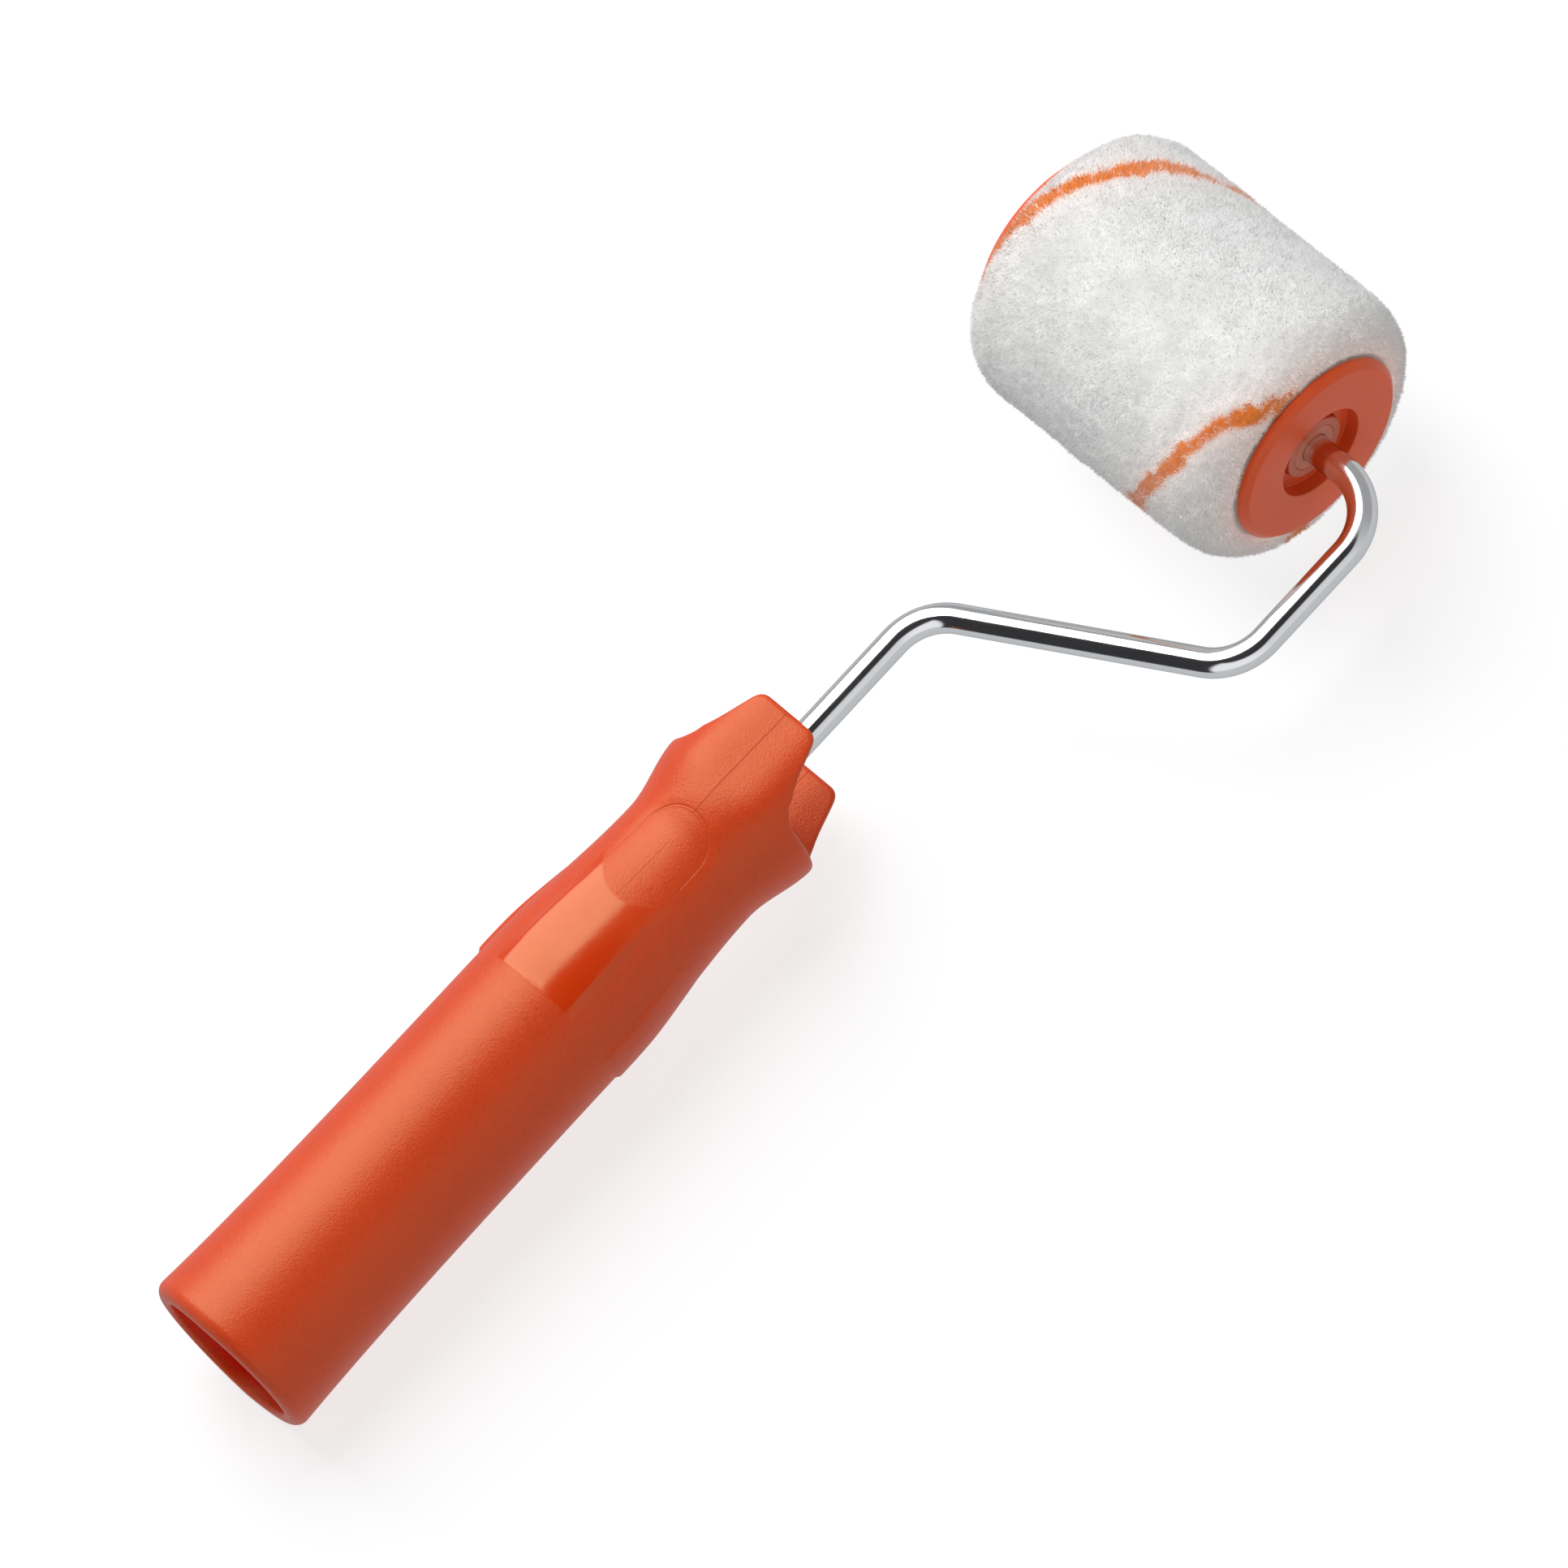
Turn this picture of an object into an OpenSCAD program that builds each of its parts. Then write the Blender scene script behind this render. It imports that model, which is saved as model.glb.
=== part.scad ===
// Short-nap paint roller: hollow pole-socket handle, bent wire rod,
// free-turning bearing sleeve and a pull-off cover with two flanged end caps.
// Millimetres. Handle axis along +Y, roller axis along X, both in the plane Z = 0.
// Origin at the centre of the pole socket's mouth.

/* [Handle] */
// Wall-to-wall radius of the grip near its head
grip_r = 17.6; // [15:0.1:22]
// How far the butt flares out past the grip radius
butt_flare = 1.35; // [0:0.05:3]
// Length over which the butt flare dies away
flare_reach = 26; // [10:1:50]
// Rounding of the butt's outer edge
butt_round = 2.5; // [0.5:0.1:3]
// Radius of the pole socket's straight mouth
socket_r = 15; // [12:0.1:16]
// Length of the straight mouth
socket_straight = 32; // [20:1:45]
// Radius at the inner end of the tapered part of the socket
socket_end_r = 13; // [10:0.1:14]
// Depth at which the taper ends
socket_depth = 100; // [70:1:108]
// Turn of the handle about its own axis against the plane of the wire, in degrees
handle_turn = 5; // [0:0.5:15]

/* [Grip pads] */
// Distance from the mouth to the step where the pads start
pad_start = 91; // [80:1:100]
// Distance from the mouth to the rounded top of the front and back pads
pad_top = 136.5; // [125:0.5:142]
// Width of the front and back pads
pad_width = 17.2; // [10:0.1:22]
// Distance from the mouth to the rounded top of the two side pads
side_pad_top = 117; // [105:1:136]
// Width of the two side pads
side_pad_width = 11; // [6:0.1:18]
// Height of the pads over the grip
pad_rise = 0.55; // [0.2:0.05:1.5]

/* [Crown] */
// Radius of the neck below the crown
neck_r = 15.5; // [13:0.1:17]
// Distance from the mouth to the narrowest part of the neck
neck_y = 131; // [120:1:135]
// Where the waist starts
waist_y = 95; // [80:1:110]
// Radius of the crown where it is widest
crown_r = 18.1; // [16:0.1:21]
// Distance from the mouth to the widest part of the crown
crown_y = 146; // [140:1:150]
// Distance from the mouth to the prong tips
tip_y = 162.5; // [155:0.2:170]
// Half width of a prong at its tip
prong_half = 7.35; // [5:0.05:10]
// Widening of a prong for each millimetre below its tip
prong_slope = 0.27; // [0:0.01:0.5]
// How fast a prong widens towards the crown
prong_fall = 2.5; // [1:0.1:5]
// Half width of the channel between the prongs
channel_half = 13.4; // [9:0.1:14]
// Distance from the mouth to the channel floor
channel_y = 147; // [142:0.5:152]
// Rounding of the prong tips' corners, seen along Z
tip_round = 3; // [1:0.5:5]

/* [Rod] */
// Radius of the wire
rod_r = 3; // [2.5:0.1:4]
// Centre-line radius of the three bends
bend_r = 12.5; // [7:0.5:14]
// Distance from the mouth to the rod's inner end
rod_tail_y = 112; // [108:1:130]
// Distance from the mouth to the first bend's corner
corner_a_y = 196.5; // [180:0.5:215]
// Distance from the mouth to the second bend's corner
corner_b_y = 226.5; // [215:0.5:245]
// Offset of the rod's outer leg from the handle axis
leg_x = 57.3; // [45:0.1:70]
// Distance from the mouth to the roller axis
axle_y = 269; // [250:0.5:300]
// Position of the rod's free end along the roller axis
rod_tip_x = -36; // [-45:0.5:-30]

/* [Cover] */
// Position of the near end cap's outer face
near_face_x = 39; // [30:0.5:60]
// Position of the far end cap's outer face
far_face_x = -34; // [-60:0.5:-25]
// Radius over the nap
nap_r = 30; // [20:0.5:40]
// Rounding of the nap's near end
nap_round = 7.5; // [2:0.5:8.5]
// Rounding of the nap's far end
nap_round_far = 8.5; // [2:0.5:8.8]
// Outer radius of the end cap flange
flange_r = 20.6; // [18:0.1:26]
// Thickness of the end cap flange
flange_t = 2.2; // [1:0.1:4]
// Bevel on the flange's outer edge
flange_bevel = 1.2; // [0.3:0.1:1.8]
// Radius of the recess in the end cap face
recess_r = 10.1; // [8:0.1:14]
// Depth of the recess
recess_depth = 3; // [1:0.1:5]
// Wall of the core tube
core_wall = 1.25; // [0.8:0.05:2]

/* [Bearing] */
// Outer radius of the bearing sleeve
sleeve_r = 7; // [6:0.1:9]
// Bore radius of the bearing sleeve
sleeve_bore = 5.2; // [4:0.1:6]
// Running clearance of the bushes on the rod
run_gap = 0.05; // [0.01:0.01:0.1]
// Outer radius of the stop collar
collar_r = 4.5; // [4:0.1:6]
// Outer radius of the push nut
nut_r = 5.5; // [4.5:0.1:6.5]

/* [Hidden] */
$fn = 96;
fit_gap = 0.02;
lap = 0.05;
bend_swell = 0.01;
bend_turn = atan2(leg_x, corner_b_y - corner_a_y);
core_in = flange_r - 0.3 - core_wall;
core_out = flange_r - 0.3;
near_core = near_face_x - flange_t;
far_core = far_face_x + flange_t;
sleeve_near = near_face_x - 1.8;
sleeve_far = far_face_x + 2.2;

// Smooth step from 0 to 1 between a and b.
function ease(y, a, b) =
    let (s = min(1, max(0, (y - a) / (b - a)))) s * s * (3 - 2 * s);

// Radius of the grip, neck and crown at a distance y from the mouth.
function body_r(y) =
    grip_r + butt_flare * exp(-(y - 5) / flare_reach)
    - (grip_r - neck_r) * ease(y, waist_y, neck_y)
    + (crown_r - neck_r) * ease(y, neck_y, crown_y)
    - 0.8 * ease(y, crown_y, tip_y);

// Half width of a prong, seen along Z, at a distance y from the mouth.
function prong_w(y) = prong_half + prong_slope * (tip_y - y)
    + 18 * exp(-(y - crown_y + 1.5) / prong_fall);

// Solid of revolution about the handle axis, with a given offset of its outline.
module turned(y0, y1, rise, step)
    rotate([-90, 0, 0])
        rotate_extrude($fn = 128)
            polygon(concat([[0, y0]],
                           [for (y = [y0 : step : y1]) [body_r(y) + rise, y]],
                           [[0, y1]]));

// Quarter-round on the butt's outer edge, then the whole handle outline.
module handle_body() {
    rotate([-90, 0, 0])
        rotate_extrude($fn = 128)
            polygon(concat(
                [[0, 0]],
                [for (a = [0 : 15 : 90])
                    [body_r(butt_round) - butt_round * (1 - sin(a)), butt_round * (1 - cos(a))]],
                [for (y = [4 : 4 : 92]) [body_r(y), y]],
                [for (y = [94 : 2 : tip_y - 2]) [body_r(y), y]],
                [[body_r(tip_y) - 0.4, tip_y - 0.4], [body_r(tip_y) - 1.1, tip_y], [0, tip_y]]));
}

// Tongue outline of one pad, square at the step and round at its top.
module pad_outline(width, top) {
    translate([-width / 2, pad_start])
        square([width, top - width / 2 - pad_start]);
    translate([0, top - width / 2])
        circle(r = width / 2);
}

// Pads on all four sides, cut from one slightly larger turned body.
module pads()
    intersection() {
        turned(pad_start, pad_top + 1, pad_rise, 2.3);
        union() {
            translate([0, 0, -25])
                linear_extrude(50)
                    pad_outline(pad_width, pad_top);
            rotate([0, 90, 0])
                translate([0, 0, -25])
                    linear_extrude(50)
                        pad_outline(side_pad_width, side_pad_top);
        }
    }

// Everything beyond the prong sides, seen along Z.
module prong_side(side)
    translate([0, 0, -25])
        linear_extrude(50)
            polygon(concat(
                [for (y = [crown_y - 1 : 1 : tip_y - tip_round]) [side * prong_w(y), y]],
                [for (a = [15 : 15 : 90])
                    [side * (prong_w(tip_y - tip_round) - tip_round * (1 - cos(a))),
                     tip_y - tip_round + tip_round * sin(a)]],
                [[side * (prong_w(tip_y - tip_round) - tip_round), tip_y + 1],
                 [side * 30, tip_y + 1],
                 [side * 30, crown_y - 1]]));

// U-shaped channel that runs across the crown between the two prongs.
module channel() {
    round_r = 5;
    rotate([0, -90, 0])
        translate([0, 0, -30])
            linear_extrude(60) {
                translate([-channel_half + round_r, channel_y])
                    square([2 * (channel_half - round_r), 30]);
                translate([-channel_half, channel_y + round_r])
                    square([2 * channel_half, 30]);
                for (s = [-1, 1])
                    translate([s * (channel_half - round_r), channel_y + round_r])
                        circle(r = round_r);
            }
}

// Blind pole socket: straight mouth, long taper, coned floor.
module socket_space()
    rotate([-90, 0, 0])
        rotate_extrude($fn = 128)
            polygon([[0, -1], [socket_r, -1], [socket_r, socket_straight],
                     [socket_end_r, socket_depth], [socket_end_r - 2.5, socket_depth + 3.5],
                     [0, socket_depth + 4.5]]);

module handle()
    color([0.9, 0.38, 0.2])
        rotate([0, handle_turn, 0])
            difference() {
                union() {
                    handle_body();
                    pads();
                }
                socket_space();
                channel();
                prong_side(1);
                prong_side(-1);
                translate([0, rod_tail_y - 0.5, 0])
                    rotate([-90, 0, 0])
                        cylinder(r = rod_r + fit_gap, h = 60, $fn = 64);
            }

// Straight length of wire between two points of the plane Z = 0, run a little into
// the bends. The chamfer c is on its first end only.
module wire(p, q, c) {
    l = norm(q - p) + lap;
    translate([p[0], p[1], 0])
        rotate([0, 0, atan2(q[1] - p[1], q[0] - p[0])])
            rotate([0, 90, 0])
                rotate_extrude($fn = 64)
                    polygon([[0, c > 0 ? 0 : -lap],
                             [rod_r - c, c > 0 ? 0 : -lap],
                             [rod_r, c],
                             [rod_r, l],
                             [0, l]]);
}

// Bend that starts at p heading along the angle a and turns by t degrees.
module bend(p, a, t) {
    s = t > 0 ? 1 : -1;
    translate([p[0], p[1], 0])
        rotate([0, 0, a])
            translate([0, s * bend_r, 0])
                rotate([0, 0, s > 0 ? -90 : 90 + t])
                    rotate_extrude(angle = abs(t), $fn = 128)
                        translate([bend_r, 0])
                            circle(r = rod_r + bend_swell, $fn = 64);
}

module rod() {
    h = 90 - bend_turn;
    k = bend_r * tan(bend_turn / 2);
    d = [cos(h), sin(h)];
    a = [0, corner_a_y];
    b = [leg_x, corner_b_y];
    a0 = a - [0, k];
    a1 = a + k * d;
    b0 = b - k * d;
    b1 = b + [0, k];
    c0 = [leg_x, axle_y - bend_r];
    c1 = [leg_x - bend_r, axle_y];
    color([0.8, 0.8, 0.82])
        union() {
            wire([0, rod_tail_y], a0, 0.7);
            bend(a0, 90, -bend_turn);
            wire(a1, b0, 0);
            bend(b0, h, bend_turn);
            wire(b1, c0, 0);
            bend(c0, 90, 90);
            wire([rod_tip_x, axle_y], c1, 0.7);
        }
}

// Ring about the roller axis from x0 to x1.
module ring(x0, x1, r_out, r_in)
    translate([x0, axle_y, 0])
        rotate([0, 90, 0])
            difference() {
                cylinder(r = r_out, h = x1 - x0);
                translate([0, 0, -1])
                    cylinder(r = r_in, h = x1 - x0 + 2);
            }

// Ring pressed on the wire inside the sleeve, so the far bush can't run to the bend.
module stop_collar()
    color([0.45, 0.32, 0.25])
        ring(sleeve_far + 9.3, sleeve_far + 11.1, collar_r, rod_r + fit_gap);

module end_washer()
    color([0.7, 0.7, 0.72])
        ring(sleeve_far - 1.1, sleeve_far - 0.3, nut_r - 0.2, rod_r + fit_gap);

module push_nut()
    color([0.6, 0.6, 0.63])
        translate([sleeve_far - 1.15, axle_y, 0])
            rotate([0, -90, 0])
                rotate_extrude()
                    polygon([[rod_r + fit_gap, 0.7], [nut_r - 1, 0], [nut_r, 0],
                             [nut_r, 0.5], [nut_r - 0.9, 0.5],
                             [rod_r + 0.5, 1.3], [rod_r + fit_gap, 1.3]]);

module bearing_sleeve()
    color([0.85, 0.45, 0.3])
        ring(sleeve_far, sleeve_near, sleeve_r, sleeve_bore);

module near_bush()
    color([0.88, 0.6, 0.45])
        ring(sleeve_near - 9, sleeve_near, sleeve_bore - fit_gap, rod_r + run_gap);

module far_bush()
    color([0.88, 0.6, 0.45])
        ring(sleeve_far, sleeve_far + 9, sleeve_bore - fit_gap, rod_r + run_gap);

module core_tube()
    color([0.75, 0.7, 0.62])
        ring(far_core + fit_gap, near_core - fit_gap, core_out, core_in);

// End cap with its outer face at x = 0 and its plug towards -X.
module end_cap()
    rotate([0, -90, 0])
        rotate_extrude($fn = 128)
            polygon([
                [recess_r, 0],
                [flange_r - flange_bevel, 0],
                [flange_r, flange_bevel],
                [flange_r, flange_t],
                [core_in - fit_gap, flange_t],
                [core_in - fit_gap, flange_t + 9],
                [core_in - 0.6, flange_t + 10],
                [core_in - 2, flange_t + 10],
                [core_in - 2, flange_t + 0.2],
                [sleeve_r + 2.2, recess_depth + 1.8],
                [sleeve_r + 2.2, recess_depth + 13],
                [sleeve_r + run_gap, recess_depth + 13],
                [sleeve_r + run_gap, recess_depth],
                [recess_r - 0.25, recess_depth]]);

module near_end_cap()
    color([0.75, 0.3, 0.19])
        translate([near_face_x, axle_y, 0])
            end_cap();

module far_end_cap()
    color([0.75, 0.3, 0.19])
        translate([far_face_x, axle_y, 0])
            mirror([1, 0, 0])
                end_cap();

module nap_backing()
    color([0.8, 0.78, 0.74])
        ring(far_core + 0.6, near_core - 0.6, core_out + 0.8, core_out + fit_gap);

// Quarter disc that rounds one end of the nap; side is 1 at the near end, -1 at the far.
module nap_corner(x, r, side)
    intersection() {
        translate([nap_r - r, x])
            circle(r = r, $fn = 64);
        translate([nap_r - r, side > 0 ? x : x - r])
            square([r, r]);
    }

// Thick closed sleeve with rounded ends that stands for the pile.
module nap_pile() {
    x0 = far_core + 0.8;
    x1 = near_core + 1.4;
    r_in = flange_r + 0.52;
    xa = x0 + nap_round_far;
    xb = x1 - nap_round;
    color([0.88, 0.88, 0.86])
        translate([0, axle_y, 0])
            rotate([0, 90, 0])
                rotate_extrude($fn = 160)
                    union() {
                        translate([r_in, x0])
                            square([nap_r - nap_round_far - r_in, xa - x0]);
                        translate([r_in, xa])
                            square([nap_r - r_in, xb - xa]);
                        translate([r_in, xb])
                            square([nap_r - nap_round - r_in, x1 - xb]);
                        nap_corner(xa, nap_round_far, -1);
                        nap_corner(xb, nap_round, 1);
                    }
}

handle();
rod();
stop_collar();
end_washer();
push_nut();
bearing_sleeve();
near_bush();
far_bush();
core_tube();
near_end_cap();
far_end_cap();
nap_backing();
nap_pile();
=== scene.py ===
import math

import bmesh
import bpy
import numpy as np
from mathutils import Matrix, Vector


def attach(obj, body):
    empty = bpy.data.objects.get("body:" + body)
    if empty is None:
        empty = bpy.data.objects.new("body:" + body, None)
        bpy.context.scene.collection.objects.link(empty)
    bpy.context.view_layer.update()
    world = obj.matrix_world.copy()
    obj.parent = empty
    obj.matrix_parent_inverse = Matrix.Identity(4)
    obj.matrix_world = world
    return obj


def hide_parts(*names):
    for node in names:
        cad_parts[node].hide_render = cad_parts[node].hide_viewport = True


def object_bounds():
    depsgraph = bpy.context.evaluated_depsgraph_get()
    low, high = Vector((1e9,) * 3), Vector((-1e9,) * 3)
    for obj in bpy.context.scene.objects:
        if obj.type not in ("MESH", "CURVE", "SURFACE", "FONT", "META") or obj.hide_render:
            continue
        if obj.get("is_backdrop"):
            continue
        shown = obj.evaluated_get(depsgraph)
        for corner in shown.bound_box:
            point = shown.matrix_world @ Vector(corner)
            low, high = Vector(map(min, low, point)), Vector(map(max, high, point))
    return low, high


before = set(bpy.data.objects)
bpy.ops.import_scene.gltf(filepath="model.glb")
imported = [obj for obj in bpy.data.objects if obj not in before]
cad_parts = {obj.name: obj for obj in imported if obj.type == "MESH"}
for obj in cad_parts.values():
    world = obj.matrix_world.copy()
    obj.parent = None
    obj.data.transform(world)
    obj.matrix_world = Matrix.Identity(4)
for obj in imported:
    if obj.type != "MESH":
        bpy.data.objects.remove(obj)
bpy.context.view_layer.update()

MM = 0.001


# ---------------------------------------------------------------- viewpoint
# The roller is seen from well above, from the rod's outer side and a little
# towards the butt, through a long lens that keeps its edges almost parallel.
view_right = (0.69990, 0.67436, -0.23532)
view_up = (-0.56858, 0.72545, 0.38786)
view_back = (0.43227, -0.13766, 0.89117)
view_place = (2.67875, -0.69793, 5.51543)
film_width, lens_ratio = 36.0, 40000.0 / 1932.0

lens = bpy.data.cameras.new("viewpoint")
lens.sensor_width = film_width
lens.lens = lens_ratio * film_width
lens.clip_start, lens.clip_end = 0.5, 60.0
viewpoint = bpy.data.objects.new("viewpoint", lens)
bpy.context.scene.collection.objects.link(viewpoint)
viewpoint.matrix_world = Matrix(
    [[view_right[i], view_up[i], view_back[i], view_place[i]] for i in range(3)] + [[0, 0, 0, 1]]
)
bpy.context.scene.camera = viewpoint
bpy.context.scene.view_settings.view_transform = "Standard"


# ---------------------------------------------------------------- table and light
# A plain pale table, tipped just enough that the nap and the butt both rest on
# it. One large soft box hangs above the far side. The room is bright towards the
# butt and grey behind; two dark patches in it draw the black lines on the wire.
class Value:
    """A shader socket that takes part in arithmetic; each operation adds a Math node."""

    def __init__(self, tree, socket):
        self.tree, self.socket = tree, socket

    def _do(self, operation, *terms, clamp=False):
        node = self.tree.nodes.new("ShaderNodeMath")
        node.operation, node.use_clamp = operation, clamp
        for place, term in enumerate(terms):
            if isinstance(term, Value):
                self.tree.links.new(term.socket, node.inputs[place])
            else:
                node.inputs[place].default_value = term
        return Value(self.tree, node.outputs[0])

    def __add__(self, other): return self._do("ADD", self, other)
    def __radd__(self, other): return self._do("ADD", other, self)
    def __sub__(self, other): return self._do("SUBTRACT", self, other)
    def __rsub__(self, other): return self._do("SUBTRACT", other, self)
    def __mul__(self, other): return self._do("MULTIPLY", self, other)
    def __rmul__(self, other): return self._do("MULTIPLY", other, self)
    def __pow__(self, other): return self._do("POWER", self, other)
    def __abs__(self): return self._do("ABSOLUTE", self)

    def rise(self, low, high):
        """0 below low, 1 above high, straight between them."""
        return self._do("MULTIPLY", self - low, 1.0 / (high - low), clamp=True)


class Finish:
    """A node tree with one way to add a node: its type, its settings, its inputs."""

    def __init__(self, name, **sockets):
        self.made = bpy.data.materials.new(name)
        self.made.use_nodes = True
        self.tree = self.made.node_tree
        self.shader = self.tree.nodes["Principled BSDF"]
        for socket, value in sockets.items():
            self.shader.inputs[socket.replace("_", " ")].default_value = value

    def node(self, kind, settings=None, inputs=None, out=0):
        made = self.tree.nodes.new("ShaderNode" + kind)
        for key, value in (settings or {}).items():
            setattr(made, key, value)
        for key, value in (inputs or {}).items():
            if isinstance(value, Value):
                self.tree.links.new(value.socket, made.inputs[key])
            else:
                made.inputs[key].default_value = value
        return Value(self.tree, made.outputs[out])

    def where(self):
        """Object coordinates in metres."""
        return self.node("TexCoord", out="Object")

    def place(self):
        """Object coordinates in metres and their three parts."""
        spot = self.where()
        return spot, *(self.node("SeparateXYZ", inputs={0: spot}, out=i) for i in range(3))

    def grain(self, spot, scale, detail=3.0, rough=0.5):
        """Noise from 0 to 1 with about scale lumps to the metre."""
        return self.node("TexNoise", inputs={"Vector": spot, "Scale": scale, "Detail": detail,
                                             "Roughness": rough})

    def colour(self, factor, low, high):
        """Mix of two colours by a value; either colour may itself be a socket."""
        made = self.tree.nodes.new("ShaderNodeMix")
        made.data_type = "RGBA"
        for key, value in ((0, factor), (6, low), (7, high)):
            if isinstance(value, Value):
                self.tree.links.new(value.socket, made.inputs[key])
            else:
                made.inputs[key].default_value = (*value, 1.0) if isinstance(value, tuple) else value
        return Value(self.tree, made.outputs[2])

    def bump(self, height, strength, depth):
        self.feed("Normal", self.node("Bump", inputs={"Height": height, "Strength": strength,
                                                      "Distance": depth}))

    def feed(self, socket, value):
        self.tree.links.new(value.socket, self.shader.inputs[socket])


table_tilt, table_middle_y, table_half = 0.04156, 0.13, 8.0
table_z = -18.97 * MM + 3 * MM * table_tilt
corners = [(i * table_half, j * table_half + table_middle_y) for i, j in ((-1, -1), (1, -1), (1, 1), (-1, 1))]
board = bpy.data.meshes.new("table")
board.from_pydata([(x, y, table_z - table_tilt * y) for x, y in corners], [], [(0, 1, 2, 3)])
table = bpy.data.objects.new("table", board)
bpy.context.scene.collection.objects.link(table)
table_finish = Finish("table_white", Base_Color=(0.30, 0.30, 0.302, 1.0), Specular_IOR_Level=0.0,
                      Emission_Color=(1.0, 1.0, 1.0, 1.0), Emission_Strength=0.74)
spot = table_finish.where()
table_finish.feed("Roughness", table_finish.grain(spot, 30.0) * 0.1 + 0.85)
board.materials.append(table_finish.made)
table.visible_diffuse = table.visible_glossy = table.visible_shadow = False
table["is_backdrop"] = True

room = bpy.data.worlds.new("room")
bpy.context.scene.world = room
room.use_nodes = True


class Room(Finish):
    """The world's node tree, with the same ways to add nodes; its end is Background."""

    def __init__(self, world):
        self.tree, self.shader = world.node_tree, world.node_tree.nodes["Background"]

    def along(self, way, spot):
        """How far a direction of sight points along a way: their dot product."""
        return self.node("VectorMath", {"operation": "DOT_PRODUCT"}, {0: spot, 1: way}, out="Value")


walls = Room(room)
spot = walls.node("TexCoord", out="Generated")
to_butt, up = walls.along((0.50, -0.86, 0.0), spot), walls.along((0, 0, 1), spot)
glow = walls.colour(to_butt.rise(-0.45, 0.70), (0.37, 0.37, 0.375), (0.90, 0.905, 0.91))
glow = walls.colour(up.rise(0.12, -0.08), glow, (0.58, 0.595, 0.605))
overhead = walls.along((0.35, -0.05, 0.935), spot).rise(0.885, 0.925)
band = abs(walls.along((0.976, 0.152, 0.151), spot)).rise(0.34, 0.26)
strip = band * walls.along((0, 1, 0), spot).rise(0.1, 0.0) * up.rise(-0.20, -0.10)
dark = walls.node("Math", {"operation": "MAXIMUM"}, {0: overhead, 1: strip})
walls.feed("Color", walls.colour(dark, glow, (0.035, 0.035, 0.037)))


def soft_box(name, way, distance, aim, wide, tall, glow):
    """A rectangular lamp seen from aim along a direction: power = radiance x pi x area."""
    lamp = bpy.data.lights.new(name, "AREA")
    lamp.shape, lamp.size, lamp.size_y = "RECTANGLE", wide, tall
    lamp.energy = glow * math.pi * wide * tall
    held = bpy.data.objects.new(name, lamp)
    bpy.context.scene.collection.objects.link(held)
    back = np.array(way) / np.linalg.norm(way)
    at = np.array(aim) + distance * back
    side = np.cross((0.0, 1.0, 0.0), back)
    side /= np.linalg.norm(side)
    up = np.cross(back, side)
    held.matrix_world = Matrix([[side[i], up[i], back[i], at[i]] for i in range(3)] + [[0, 0, 0, 1]])


soft_box("key_box", (-0.58, 0.156, 0.80), 1.4, (0.0, 0.16, 0.0), 1.75, 1.07, 4.0)


# ---------------------------------------------------------------- handle
# One hollow orange moulding. The butt is an open pole socket; above a small
# step four raised pads run up to the neck; the crown ends in two prongs with a
# channel between them, and the wire comes out of the channel's floor.
grip_r, butt_flare, flare_reach, butt_round = 17.6, 1.35, 26.0, 2.5
pad_start, pad_top, pad_rise, pad_share, pad_end, pad_flat = 91.0, 136.5, 0.55, 0.486, 7.5, 0.3
side_pad_half, side_pad_top = 5.5, 117.0
neck_r, waist_y, neck_y, crown_r, crown_y, tip_y = 15.5, 95.0, 131.0, 18.1, 146.0, 162.5
crown_dish, dish_half, crown_soft, tip_taper = 1.6, 10.5, 0.9, 0.8
prong_half, prong_slope, prong_fall, tip_round, prong_lean = 7.35, 0.27, 2.5, 3.0, 0.045
channel_half, channel_y, corner_r = 13.4, 147.0, 5.0
socket_r, socket_straight, socket_end_r, socket_depth = 15.0, 32.0, 13.0, 100.0
rod_r, axle_y, leg_x = 3.0, 269.0, 57.3
handle_turn = math.radians(5.0)
mouth_askew, mouth_r, handle_cuts = 0.8, 19.0, 288


def ease(v, a, b):
    """Smooth step: 3 s^2 - 2 s^3 of s = (v - a) / (b - a), held in 0 to 1."""
    s = np.clip((v - a) / (b - a), 0.0, 1.0)
    return s * s * (3.0 - 2.0 * s)


def handle_r(y, phi):
    """Outer radius at y for an angle phi from the mould plane: grip with a flared
    butt, eased in to the neck and out to the crown. The long pads on the front and
    back stand proud at the step and sink in at their round tops; the short side
    pads only stand proud."""
    r = grip_r + butt_flare * np.exp(-(y - 5.0) / flare_reach) - (grip_r - neck_r) * ease(y, waist_y, neck_y)
    r = r + (crown_r - neck_r) * ease(y, neck_y, crown_y) - tip_taper * ease(y, crown_y, tip_y)
    dish = np.maximum(1.0 - (r * np.sin(phi) / dish_half) ** 2, 0.0) ** 2
    flat = pad_flat * ease(y, 90.9, 92.0) * (1.0 - ease(y, 120.0, 135.0))
    r = r - dish * (crown_dish * ease(y, 134.0, 148.0) + flat)
    half = pad_share * r
    front = half - np.hypot(r * np.sin(phi), np.maximum(y - (pad_top - pad_end), 0.0) * half / pad_end)
    side = side_pad_half - np.hypot(r * np.cos(phi), np.maximum(y - (side_pad_top - side_pad_half), 0.0))
    rise = 0.16 + 0.44 * ease(y, 91.0, 100.0) - 0.9 * ease(y, 104.0, 133.0)
    flank = 0.35 * ease(front, -0.2, 0.2) + 0.65 * ease(front, -1.9, 0.1)
    r = r + rise * ease(y, pad_start - 0.4, pad_start + 1.0) * flank
    rise = 1.1 * pad_rise * (1.0 - 0.9 * ease(y, 100.0, 117.0))
    return r + rise * ease(y, pad_start - 0.5, pad_start + 0.8) * ease(side, -0.6, 0.15)


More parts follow.
